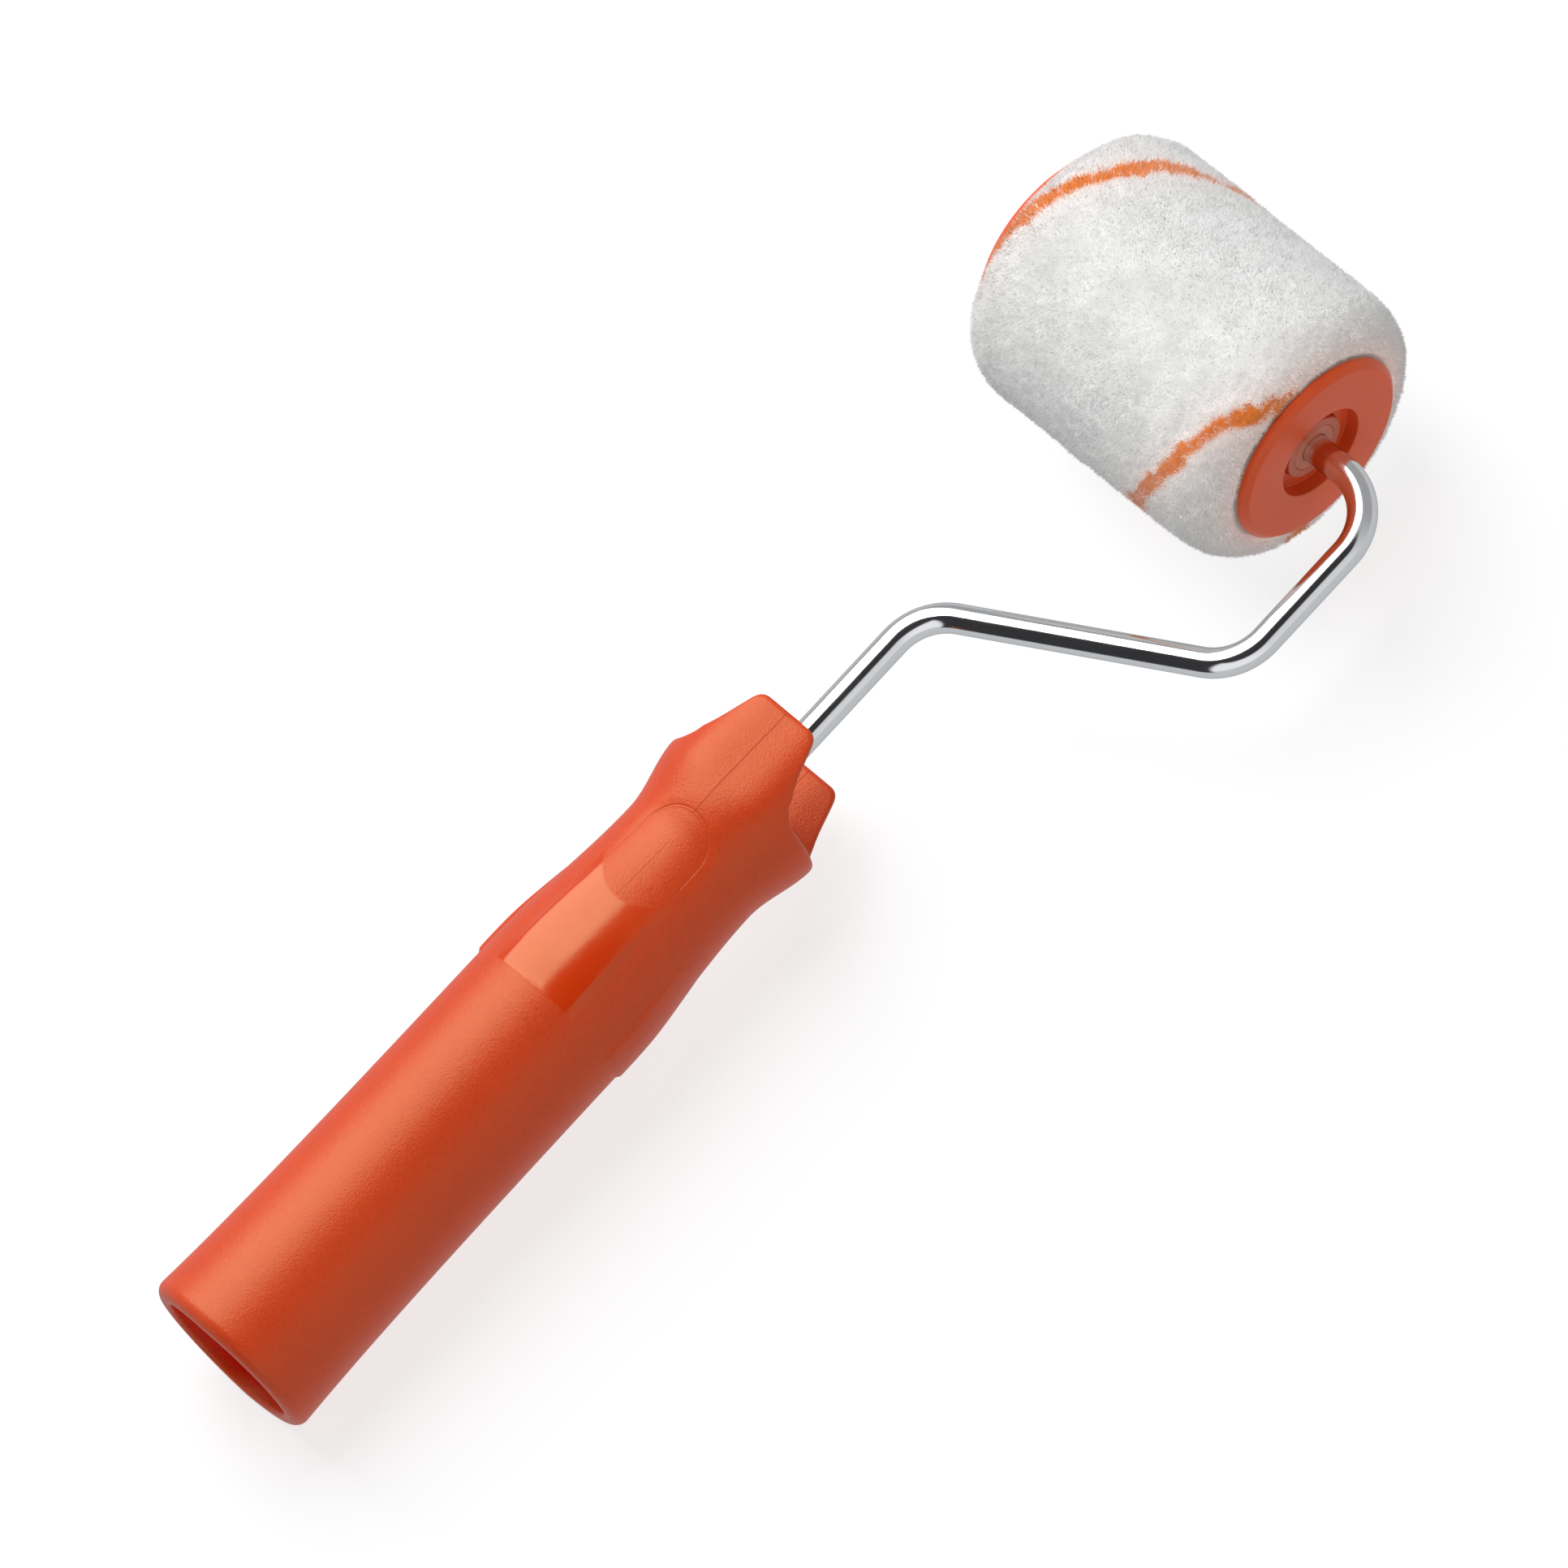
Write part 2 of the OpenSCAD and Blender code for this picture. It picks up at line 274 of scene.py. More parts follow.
def crown_top(x, z):
    """Height of the crown's upper side over a point: the lowest of the rounded prong
    tips, the prong sides and the channel, joined by a soft minimum."""
    wide = np.abs(x)
    y = np.linspace(180.0, crown_y - 6.0, 300)
    half = prong_half + prong_slope * (tip_y - y) + 18.0 * np.exp(-(y - crown_y + 1.5) / prong_fall)
    side = np.interp(wide, half, y)
    square = np.interp(tip_y - tip_round, y[::-1], half[::-1]) - tip_round
    tip = tip_y - tip_round + np.sqrt(tip_round**2 - np.clip(wide - square, 0.0, tip_round * 0.999) ** 2)
    tip, side = tip + prong_lean * z, side + prong_lean * z
    deep = np.abs(z) - (channel_half - corner_r)
    bend = corner_r - np.sqrt(np.maximum(corner_r**2 - np.clip(deep, 0.0, corner_r * 0.985) ** 2, 0.0))
    wall = channel_y + bend + np.maximum(deep - corner_r * 0.985, 0.0) * 25.0
    k = 0.7
    return channel_y - k * np.log(sum(np.exp(-(top - channel_y) / k) for top in (tip, side, wall)))


def handle_half(phi):
    """The cut through the handle in the half-plane at phi, as radius and height:
    socket floor, socket wall, lip, outside, rim, crown top, wire hole, centre. With
    it comes the number of its first point on the crown."""
    steps = np.linspace
    floor = np.stack([steps(0, socket_end_r - 2.5, 6), steps(socket_depth + 4.5, socket_depth + 3.5, 6)])
    cove = np.stack([steps(socket_end_r - 2.5, socket_end_r, 5), steps(socket_depth + 3.5, socket_depth, 5)])
    taper = np.stack([steps(socket_end_r, socket_r, 10), steps(socket_depth, socket_straight, 10)])
    mouth = np.stack([np.full(8, socket_r), steps(socket_straight, 1.0, 8)])
    rim_r = handle_r(np.array(butt_round), phi)
    turn = steps(0, math.pi / 2, 11)
    lip = np.stack([
        np.concatenate([socket_r + 0.9 - 0.9 * np.cos(turn), rim_r - butt_round + butt_round * np.sin(turn)]),
        np.concatenate([0.9 - 0.9 * np.sin(turn), butt_round - butt_round * np.cos(turn)])])
    ys = np.concatenate([steps(3.2, 30, 14), steps(34, 90, 15), steps(90.6, 91.6, 9), steps(92.2, 127, 56),
                         steps(127.4, 137, 26)])
    rs = handle_r(ys, phi)
    search = steps(137, tip_y + 1, 700)
    edge_r = handle_r(search, phi)
    above = search >= crown_top(edge_r * math.sin(phi), edge_r * math.cos(phi))
    rim = search[np.argmax(above)] if above.any() else tip_y
    yr = steps(137.4, rim, 38)
    rr = handle_r(yr, phi)
    inward = steps(rr[-1], rod_r + 0.05, 900)
    up = crown_top(inward * math.sin(phi), inward * math.cos(phi))
    run = np.concatenate([[0], np.cumsum(np.hypot(np.diff(inward), np.diff(up)))])
    even = steps(0, run[-1], 104)[1:]
    top = np.stack([np.interp(even, run, inward), np.interp(even, run, up)])
    hole = np.stack([np.full(5, rod_r + 0.05), steps(up[-1] - 0.4, up[-1] - 6, 5)])
    close = np.array([[0.0], [up[-1] - 6]])
    below = [floor, cove[:, 1:], taper[:, 1:], mouth[:, 1:], lip, np.stack([rs, ys])]
    crown = [np.stack([rr, yr]), top, hole, close]
    return np.concatenate(below + crown, axis=1), sum(part.shape[1] for part in below)


def softened(cut, first, width):
    """Rounds every corner after the point `first` by averaging the cut along its length
    with a bell of the given width; the wire hole's points at the end stay sharp."""
    step, hole_points = 0.12, 6
    run = np.concatenate([[0], np.cumsum(np.hypot(*np.diff(cut, axis=1)))])
    even = np.arange(0, run[-1], step)
    fine = np.stack([np.interp(even, run, cut[0]), np.interp(even, run, cut[1])])
    reach = int(3 * width / step)
    bell = np.exp(-0.5 * (np.arange(-reach, reach + 1) * step / width) ** 2)
    bell /= bell.sum()
    padded = np.pad(fine, ((0, 0), (reach, reach)), mode="edge")
    smooth = np.stack([np.convolve(row, bell, mode="valid") for row in padded])
    out = np.stack([np.interp(run, even, smooth[0]), np.interp(run, even, smooth[1])])
    out[:, :first], out[:, -hole_points:] = cut[:, :first], cut[:, -hole_points:]
    return out


def skin(name, points, ends="point", flip=False):
    """Closed mesh of a grid of points[u, v]: quads between neighbours, u wrapped round,
    and v either wrapped round too or closed by one point at each end."""
    nu, nv = points.shape[:2]
    u, v = np.arange(nu), np.arange(nv - 1 if ends == "point" else nv)
    here, there = u[:, None] * nv, ((u[:, None] + 1) % nu) * nv
    grid = [here + v, there + v, there + (v + 1) % nv, here + (v + 1) % nv]
    quads = np.stack([corner.ravel() for corner in grid], axis=1)
    co = points.reshape(-1, 3)
    if ends == "point":
        co = np.concatenate([co, points[:, 0].mean(0)[None], points[:, -1].mean(0)[None]])
        first, last = len(co) - 2, len(co) - 1
        index = np.arange(nu * nv)
        index = np.where(index % nv == 0, first, np.where(index % nv == nv - 1, last, index))
        quads = index[quads]
    if flip:
        quads = quads[:, ::-1]
    mesh = bpy.data.meshes.new(name)
    faces = [tuple(dict.fromkeys(q)) for q in quads.tolist()]
    mesh.from_pydata(co.tolist(), [], faces)
    mesh.validate()
    mesh.polygons.foreach_set("use_smooth", np.ones(len(mesh.polygons), bool))
    mesh.update()
    made = bpy.data.objects.new(name, mesh)
    bpy.context.scene.collection.objects.link(made)
    return made


angles = np.arange(handle_cuts) * 2 * math.pi / handle_cuts
cuts = np.array([softened(*handle_half(phi), crown_soft) for phi in angles])
swung = (angles + handle_turn)[:, None]
to_left = np.clip(-cuts[:, 0] * np.sin(swung) / mouth_r, 0.0, 1.0)
cuts[:, 1] += mouth_askew * to_left * (1.0 - ease(cuts[:, 1], 0.0, 15.0))
handle_points = np.stack([cuts[:, 0] * np.sin(swung), cuts[:, 1], cuts[:, 0] * np.cos(swung)], axis=2)
handle = skin("handle_moulding", handle_points * MM)

orange = Finish("orange_moulding", Specular_IOR_Level=0.66, Specular_Tint=(1.0, 0.95, 0.55, 1.0))
spot, x, y, z = orange.place()
off = x * math.cos(handle_turn) - z * math.sin(handle_turn)
away = (x * x + z * z) ** 0.5
outer = away.rise(0.0139, 0.0141)
off_held = orange.node("Math", {"operation": "MINIMUM"}, {0: abs(off), 1: 0.012})
above = orange.node("Math", {"operation": "MAXIMUM"}, {0: y - 0.1290, 1: 0.0})
inside = pad_share * away - (off * off + above * above) ** 0.5
gloss = y.rise(0.0910, 0.0912) * (y - off_held * off_held * 70.0).rise(0.1147, 0.1140) * outer
gloss = gloss * inside.rise(-0.0018, -0.0013)
# Masks of two fine crease lines, round the pads' arched tops and along the parting seam. Both are pressed in by
# the bump and darkened below as painted shade.
arch = abs(inside).rise(0.00022, 0.00006) * y.rise(0.119, 0.124)
arch = arch * outer * y.rise(0.1395, 0.1385)
line = abs(off).rise(0.00016, 0.00004)
seam = line * (y.rise(0.1360, 0.1364) + (y.rise(0.1142, 0.1150) - y.rise(0.1288, 0.1298)) * 0.45)
sand = orange.grain(spot, 2300.0, 2.0, 0.65)
mottle = orange.grain(spot, 420.0, 3.0, 0.6)
cloud = orange.grain(spot, 38.0, 2.0, 0.5)
rubbed = 1.0 - gloss
tone = orange.colour((sand - 0.5) * rubbed * 1.5 + (mottle - 0.5) * 0.5 + (cloud - 0.5) * 0.6 + 0.5,
                     (0.58, 0.031, 0.0015), (0.71, 0.052, 0.004))
# Painted shade: the seam and arch lines are darkened towards a deep red, as shade in these fine creases.
tone = orange.colour(seam * 0.4 + arch * 0.15, tone, (0.36, 0.020, 0.004))
# Painted light: the inside of the pole socket gets a brighter, deeper red, standing in for light bounced between
# its walls.
socket = away.rise(0.0153, 0.0151) * y.rise(0.110, 0.104) * y.rise(0.0008, 0.0040)
orange.feed("Base Color", orange.colour(socket, tone, (0.95, 0.008, 0.002)))
orange.feed("Roughness", (0.41 + (sand - 0.5) * 0.2) * rubbed + gloss * (0.2 + (cloud - 0.5) * 0.08))
orange.bump((sand - 0.5) * rubbed * 1.1 + (mottle - 0.5) * 0.3 - seam * 0.9 - arch * 0.7, 0.8, 0.00011)
handle.data.materials.append(orange.made)
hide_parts("handle")
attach(handle, "frame")


# ---------------------------------------------------------------- wire
# One length of plated 6 mm steel wire. Three bends carry it out to the side,
# up past the cover and back along the roller axis, where the bearing runs on it.
corner_a_y, corner_b_y, bend_r, tail_y, tip_x = 196.5, 226.5, 12.5, 112.0, -36.0


def wire_line():
    """Centre line: straight lengths joined by arcs of one radius, as points 0.6 mm
    apart in the bends, with the running direction of each."""
    marks = np.array([[0, tail_y], [0, corner_a_y], [leg_x, corner_b_y], [leg_x, axle_y], [tip_x, axle_y]], float)
    line, ways = [marks[0]], [np.array([0.0, 1.0])]
    for before, here, after in zip(marks[:-2], marks[1:-1], marks[2:]):
        a = (here - before) / np.linalg.norm(here - before)
        b = (after - here) / np.linalg.norm(after - here)
        turn = math.acos(a @ b)
        sign = np.sign(a[0] * b[1] - a[1] * b[0])
        inward = sign * np.array([-a[1], a[0]])
        start = here - bend_r * math.tan(turn / 2) * a
        t = np.linspace(0, turn, 26)[:, None]
        arc = start + bend_r * inward + bend_r * (a * np.sin(t) - inward * np.cos(t))
        run = a * np.cos(t) + inward * np.sin(t)
        gap = np.linalg.norm(start - line[-1])
        s = np.linspace(0, 1, max(3, int(gap / 4)))[1:-1, None]
        line += list(line[-1] + s * (start - line[-1])) + list(arc)
        ways += [a] * len(s) + list(run)
    s = np.linspace(0, 1, 24)[1:, None]
    end = np.array([tip_x, axle_y])
    ways += [(end - line[-1]) / np.linalg.norm(end - line[-1])] * len(s)
    line += list(line[-1] + s * (end - line[-1]))
    return np.array(line), np.array(ways)


def along(line, ways, radius, sides):
    """Tube: at each point of a plane line, a circle of the given radius square to
    the line, radius x (cos a n + sin a k), n the line's normal and k the Z axis."""
    a = np.arange(sides) * 2 * math.pi / sides
    n = np.stack([-ways[:, 1], ways[:, 0]], axis=1)
    r = np.broadcast_to(radius, (sides, len(line)))
    flat = line[None] + r[..., None] * np.cos(a)[:, None, None] * n[None]
    return np.concatenate([flat, (r * np.sin(a)[:, None])[..., None]], axis=2)


line, ways = wire_line()
wire_round = 0.7
ends = np.array([0.0, 0.25, wire_round])
near_tip, far_tip = line[0] + ends[1:, None] * ways[0], line[-1] - ends[:0:-1, None] * ways[-1]
line = np.concatenate([line[:1], near_tip, line[1:-1], far_tip, line[-1:]])
ways = np.concatenate([ways[[0, 0, 0]], ways[1:-1], ways[[-1, -1, -1]]])
thick = np.full(len(line), rod_r)
rounding = np.sqrt(np.maximum(wire_round**2 - (wire_round - ends) ** 2, 0))
thick[:3] = thick[:-4:-1] = rod_r - wire_round + rounding
wire = skin("wire", along(line, ways, thick, 64) * MM)
plated = Finish("bright_plate", Metallic=1.0, Specular_Tint=(0.75, 0.75, 0.76, 1.0))
spot = plated.where()
smear = plated.grain(spot, 90.0, 3.0, 0.55)
fine = plated.grain(spot, 1500.0, 2.0, 0.5)
plated.feed("Base Color", plated.colour(smear, (0.81, 0.815, 0.825), (0.88, 0.885, 0.895)))
plated.feed("Roughness", smear.rise(0.35, 0.75) * 0.05 + 0.085 + fine * 0.02)
plated.bump(smear * 0.7 + fine * 0.3, 0.12, 0.00005)
wire.data.materials.append(plated.made)
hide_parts("rod")
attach(wire, "frame")


# ---------------------------------------------------------------- bearing
# A moulded sleeve turns on the wire on two pale bushes. A ring pressed on the
# wire stops the far bush one way, a washer and a push-on nut stop it the other.
near_face, far_face = 39.0, -34.0
sleeve_near, sleeve_far, sleeve_r, sleeve_bore = near_face - 1.8, far_face + 2.2, 7.0, 5.2


def turned(name, outline, sides=128, edge=0.25):
    """Ring about the roller axis: an outline of (radius, x) corners, each corner cut
    back by the edge width and rounded, swept round the axis."""
    corner = np.array(outline, float)
    before, after = np.roll(corner, 1, axis=0), np.roll(corner, -1, axis=0)
    to_before, to_after = before - corner, after - corner
    lb = np.linalg.norm(to_before, axis=1, keepdims=True)
    la = np.linalg.norm(to_after, axis=1, keepdims=True)
    cut = np.minimum(edge, 0.42 * np.minimum(lb, la))
    p, q = corner + to_before / lb * cut, corner + to_after / la * cut
    t = np.linspace(0, 1, 6)[None, :, None]
    rounded = (1 - t) ** 2 * p[:, None] + 2 * t * (1 - t) * corner[:, None] + t**2 * q[:, None]
    ring = rounded.reshape(-1, 2)
    a = np.arange(sides)[:, None] * 2 * math.pi / sides
    points = np.stack([np.broadcast_to(ring[:, 1], (sides, len(ring))),
                       axle_y + ring[:, 0] * np.cos(a), ring[:, 0] * np.sin(a)], axis=2) * MM
    made = skin(name, points, ends="wrap")
    work = bmesh.new()
    work.from_mesh(made.data)
    bmesh.ops.recalc_face_normals(work, faces=work.faces)
    work.to_mesh(made.data)
    work.free()
    return made


def ring(x0, x1, r_out, r_in):
    """Outline of a plain ring: the rectangle from x0 to x1 between two radii."""
    return [(r_in, x0), (r_out, x0), (r_out, x1), (r_in, x1)]


bearing = {
    "bearing_sleeve": (ring(sleeve_far, sleeve_near, sleeve_r, sleeve_bore), "spindle"),
    "near_bush": (ring(sleeve_near - 9, sleeve_near, sleeve_bore - 0.02, rod_r + 0.05), "spindle"),
    "far_bush": (ring(sleeve_far, sleeve_far + 9, sleeve_bore - 0.02, rod_r + 0.05), "spindle"),
    "stop_collar": (ring(sleeve_far + 9.3, sleeve_far + 11.1, 4.5, rod_r + 0.02), "frame"),
    "end_washer": (ring(sleeve_far - 1.1, sleeve_far - 0.3, 5.3, rod_r + 0.02), "frame"),
    "push_nut": ([(3.02, sleeve_far - 1.85), (4.5, sleeve_far - 1.15), (5.5, sleeve_far - 1.15),
                  (5.5, sleeve_far - 1.65), (4.6, sleeve_far - 1.65), (3.5, sleeve_far - 2.45),
                  (3.02, sleeve_far - 2.45)], "frame"),
}
# Partly painted light: the sleeve gets a dark brownish orange and the pale bushes an orange-tan. These colours
# hold painted shade in the caps' recess and painted orange light bounced from the caps.
sleeve_finish = Finish("sleeve_moulding", Roughness=0.34)
spot = sleeve_finish.where()
swirl = sleeve_finish.grain(spot, 300.0, 3.0)
sleeve_finish.feed("Base Color", sleeve_finish.colour(swirl, (0.50, 0.075, 0.025), (0.60, 0.105, 0.04)))
sleeve_finish.bump(swirl, 0.2, 0.00006)
bush_finish = Finish("pale_bush", Roughness=0.4)
spot = bush_finish.where()
swirl = bush_finish.grain(spot, 500.0, 3.0)
bush_finish.feed("Base Color", bush_finish.colour(swirl, (0.56, 0.13, 0.055), (0.64, 0.165, 0.08)))
bush_finish.bump(swirl, 0.2, 0.00005)
pressed = Finish("pressed_steel", Metallic=1.0)
spot = pressed.where()
lay = pressed.grain(spot, 700.0, 4.0, 0.65)
pressed.feed("Base Color", pressed.colour(lay, (0.36, 0.35, 0.35), (0.56, 0.55, 0.54)))
pressed.feed("Roughness", lay * 0.25 + 0.22)
pressed.bump(lay, 0.3, 0.00005)
bearing_looks = {"bearing_sleeve": sleeve_finish, "near_bush": bush_finish, "far_bush": bush_finish}
for name, (outline, body) in bearing.items():
    piece = turned(name + "_turned", outline, sides=96, edge=0.18)
    piece.data.materials.append(bearing_looks.get(name, pressed).made)
    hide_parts(name)
    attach(piece, body)


# ---------------------------------------------------------------- end caps
# Two orange moulded caps, pushed into the core tube. The flange has a bevelled
# rim; its middle steps down to a recess, where the bearing sleeve's end shows.
flange_r, flange_t, flange_bevel, recess_r, recess_depth = 20.6, 2.2, 1.2, 10.1, 3.0
core_gap, core_wall = 0.3, 1.25
core_in = flange_r - core_gap - core_wall


def cap_outline(face, way):
    """Cap's cut as (radius, x), from its face back along way (-1 near, +1 far)."""
    d = [(recess_r, 0), (flange_r - flange_bevel, 0), (flange_r, flange_bevel), (flange_r, flange_t),
         (core_in - 0.02, flange_t), (core_in - 0.02, flange_t + 9), (core_in - 0.6, flange_t + 10),
         (core_in - 2, flange_t + 10), (core_in - 2, flange_t + 0.2), (sleeve_r + 2.2, recess_depth + 1.8),
         (sleeve_r + 2.2, recess_depth + 13), (sleeve_r + 0.05, recess_depth + 13),
         (sleeve_r + 0.05, recess_depth), (recess_r - 0.25, recess_depth)]
    return [(r, face + way * back) for r, back in d]


cap_finish = Finish("cap_moulding", Specular_IOR_Level=0.45, Specular_Tint=(1.0, 0.92, 0.72, 1.0))
spot, _, y, z = cap_finish.place()
flow = cap_finish.grain(spot, 160.0, 3.0, 0.6)
fine = cap_finish.grain(spot, 1800.0, 2.0, 0.5)
off_y = y - axle_y * MM
away = (off_y * off_y + z * z) ** 0.5
rings = cap_finish.node("Math", {"operation": "SINE"}, {0: away * 9000.0})
cap_finish.feed("Base Color", cap_finish.colour(flow, (0.72, 0.072, 0.010), (0.84, 0.098, 0.018)))
cap_finish.feed("Roughness", flow * 0.12 + 0.30)
cap_finish.bump(rings * 0.12 + fine * 0.3 + flow * 0.5, 0.25, 0.00006)
for name, face, way in (("near_end_cap", near_face, -1), ("far_end_cap", far_face, 1)):
    cap = turned(name + "_moulding", cap_outline(face, way), sides=180, edge=0.3)
    cap.data.materials.append(cap_finish.made)
    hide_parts(name)
    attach(cap, "cover")


# ---------------------------------------------------------------- core and backing
# A plain tube carries the cover; a woven backing is bonded round it. Both are
# hidden by the caps and the pile, and keep their plain turned shapes.
tube_finish = Finish("core_tube_finish", Roughness=0.6)
spot = tube_finish.where()
lay = tube_finish.grain(spot, 260.0, 4.0)
tube_finish.feed("Base Color", tube_finish.colour(lay, (0.42, 0.37, 0.30), (0.56, 0.50, 0.42)))
tube_finish.bump(lay, 0.3, 0.0001)
weave_finish = Finish("woven_backing", Roughness=0.92, Sheen_Weight=0.25)
spot, x, y, z = weave_finish.place()
turn = weave_finish.node("Math", {"operation": "ARCTAN2"}, {0: z, 1: y - axle_y * MM})
warp = weave_finish.node("Math", {"operation": "SINE"}, {0: turn * 150.0})
weft = weave_finish.node("Math", {"operation": "SINE"}, {0: x * 6500.0})
weave_finish.feed("Base Color", weave_finish.colour(warp * weft * 0.5 + 0.5, (0.52, 0.50, 0.45),
                                                    (0.68, 0.66, 0.61)))
weave_finish.bump(warp * weft, 0.6, 0.0002)
for name, finish in (("core_tube", tube_finish), ("nap_backing", weave_finish)):
    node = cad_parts[name]
    for place in range(len(node.material_slots)):
        node.material_slots[place].material = finish.made
    if not node.material_slots:
        node.data.materials.append(finish.made)


# ---------------------------------------------------------------- nap
# Thick off-white pile cut to an even height, rounded over at both ends, with one
# orange marker yarn that winds round it. A lumpy under-layer closes the pile and
# six bundles of fine leaning tufts stand in it.
nap_r, nap_near, nap_far, nap_in = 30.0, 37.6, -31.5, 21.1
nap_rows, nap_turns = 152, 440
tufts_each, bundles, pile_seed = 44000, 6, 41
tuft_long, tuft_thin, tuft_thick, tuft_scatter = 1.3, 0.10, 0.16, 0.34


def nap_edge(count):
    """Cut of the trimmed pile as (x, radius) evenly spaced along it: near end face,
    rounded shoulder, barrel, wider far shoulder, far end face."""
    q = np.linspace(0, math.pi / 2, 40)
    near, far, deep = 10.5, 9.6, 8.0
    x = np.concatenate([[nap_near - 2.2, nap_near - 0.5], nap_near - near + near * np.cos(q),
                        nap_far + far - far * np.sin(q), [nap_far + 0.3, nap_far + 1.2]])
    r = np.concatenate([[nap_in - 0.4, nap_in + 0.1], nap_r - deep + deep * np.sin(q),
                        nap_r - deep + deep * np.cos(q), [nap_in + 0.1, nap_in - 0.2]])
    run = np.concatenate([[0], np.cumsum(np.hypot(np.diff(x), np.diff(r)))])
    even = np.linspace(0, run[-1], count)
    return np.interp(even, run, x), np.interp(even, run, r), run[-1]


def lumps(a, s, cells_a, cells_s, seed):
    """Smooth noise from -1 to 1 on the unrolled pile: random corner values on a
    lattice, eased between corners, closed round the roller; s runs from 0 to 1."""
    corner = np.random.default_rng(seed).uniform(-1, 1, (cells_a, cells_s + 2))
    u, v = (a / (2 * math.pi)) % 1.0 * cells_a, np.clip(s, 0, 0.9999) * cells_s
    i, j = u.astype(int) % cells_a, v.astype(int)
    fu, fv = u - np.floor(u), v - j
    fu, fv = fu * fu * (3 - 2 * fu), fv * fv * (3 - 2 * fv)
    k = (i + 1) % cells_a
    return ((corner[i, j] * (1 - fu) + corner[k, j] * fu) * (1 - fv)
            + (corner[i, j + 1] * (1 - fu) + corner[k, j + 1] * fu) * fv)


yarn_end = math.radians(242.0)
yarn_turn = np.radians([60, 92, 97, 104, 114, 129, 149, 181, 240,
                        382, 390, 402, 415, 429, 445, 457, 470, 500])
yarn_x = np.array([43, 38.3, 37.3, 35.0, 32.3, 29.0, 24.6, 16.8, 9.0,
                   -8.1, -11.8, -15.6, -19.0, -21.8, -26.0, -28.4, -30.4, -33])


def yarn_share(a, s, x):
    """How much of the pile is marker yarn: 1 on the winding line, falling off over a
    width that swells and thins along the yarn, broken up by small lumps."""
    share, near = np.zeros_like(x), np.full_like(x, 99.0)
    for wrap in (0.0, 2 * math.pi):
        turn = (a % (2 * math.pi)) + wrap
        off = x - np.interp(turn, yarn_turn, yarn_x, left=99.0, right=-99.0)
        off = off + 0.75 * lumps(a, s, 46, 20, 5) + 0.35 * lumps(a, s, 120, 60, 6)
        wide = 1.95 + 0.7 * lumps(a, s, 30, 3, 7) + 0.5 * lumps(a, s, 75, 9, 8)
        share = np.maximum(share, ease(-np.abs(off), -wide - 0.75, -wide * 0.45))
        near = np.minimum(near, np.abs(off))
    tail = 1.0 - np.abs((a % (2 * math.pi)) - yarn_end) / 0.17 - np.maximum(36.2 - x, 0.0)
    share = np.maximum(share, ease(tail, 0.0, 0.5))
    return share * (1.0 + 0.3 * lumps(a, s, 150, 80, 9)), near


def blush(near, x, r):
    """Faint warm tint: pink beside the marker yarn, and painted orange bounce light from the caps on the pile
    beside them.
    """
    rim = np.exp(-np.maximum(nap_near - 2.0 - x, 0) / 4.5) * np.exp(-np.maximum(r - 23, 0) / 3.5)
    rim_far = np.exp(-np.maximum(x - nap_far, 0) / 2.5) * np.exp(-np.maximum(r - 23, 0) / 4.0)
    return np.clip(0.7 * np.exp(-near / 2.8) + 0.5 * rim + 0.4 * rim_far, 0, 1)


def around(a, x, r):
    """Point at angle a round the roller axis, from +Y towards +Z."""
    return np.stack([x, axle_y + r * np.cos(a), r * np.sin(a)], axis=-1)


def paint(piece, name, values):
    """Stores one number for each point of a piece under a name the material reads."""
    layer = piece.data.attributes.new(name, "FLOAT", "POINT")
    layer.data.foreach_set("value", np.ascontiguousarray(values, dtype=np.float32).ravel())


def pile_height(a, s):
    """Unevenness of the trimmed pile in mm: broad swells, tuft-sized lumps, fine ones."""
    return 0.22 * lumps(a, s, 17, 9, 1) + 0.18 * lumps(a, s, 48, 24, 2) + 0.2 * lumps(a, s, 130, 70, 3)


edge_x, edge_r, edge_run = nap_edge(nap_rows)
edge_n = np.stack([-np.gradient(edge_r), np.gradient(edge_x)], axis=1)
edge_n /= -np.linalg.norm(edge_n, axis=1, keepdims=True)
a = (np.arange(nap_turns) * 2 * math.pi / nap_turns)[:, None]
s = np.linspace(0, 1, nap_rows)[None, :]
sunk = -0.95 + 0.9 * pile_height(a, s) + 0.12 * lumps(a, s, 300, 150, 4)
sunk *= ease(np.minimum(s, 1 - s) * edge_run, -0.6, 4.0)
base_x, base_r = edge_x + sunk * edge_n[:, 0], edge_r + sunk * edge_n[:, 1]
bed = around(np.broadcast_to(a, base_x.shape), base_x, base_r)
bore_r = np.full(nap_turns, nap_in + 0.02)
inner = [around(a[:, 0], np.full(nap_turns, x), bore_r) for x in (nap_far + 1.6, nap_near - 2.4)]
bed = np.concatenate([bed, inner[0][:, None], inner[1][:, None]], axis=1)
under = skin("nap_underlayer", bed * MM, ends="wrap", flip=True)
share, near = yarn_share(a, s, base_x)
# The under-layer's tone is kept low, with a little random variation: painted shade deep down among the tufts.
for key, value in (("yarn", np.clip(share, 0, 1)), ("warm", blush(near, base_x, base_r)),
                   ("tone", 0.35 + 0.2 * lumps(a, s, 48, 24, 2))):
    paint(under, key, np.concatenate([value, np.zeros((nap_turns, len(inner)))], axis=1))


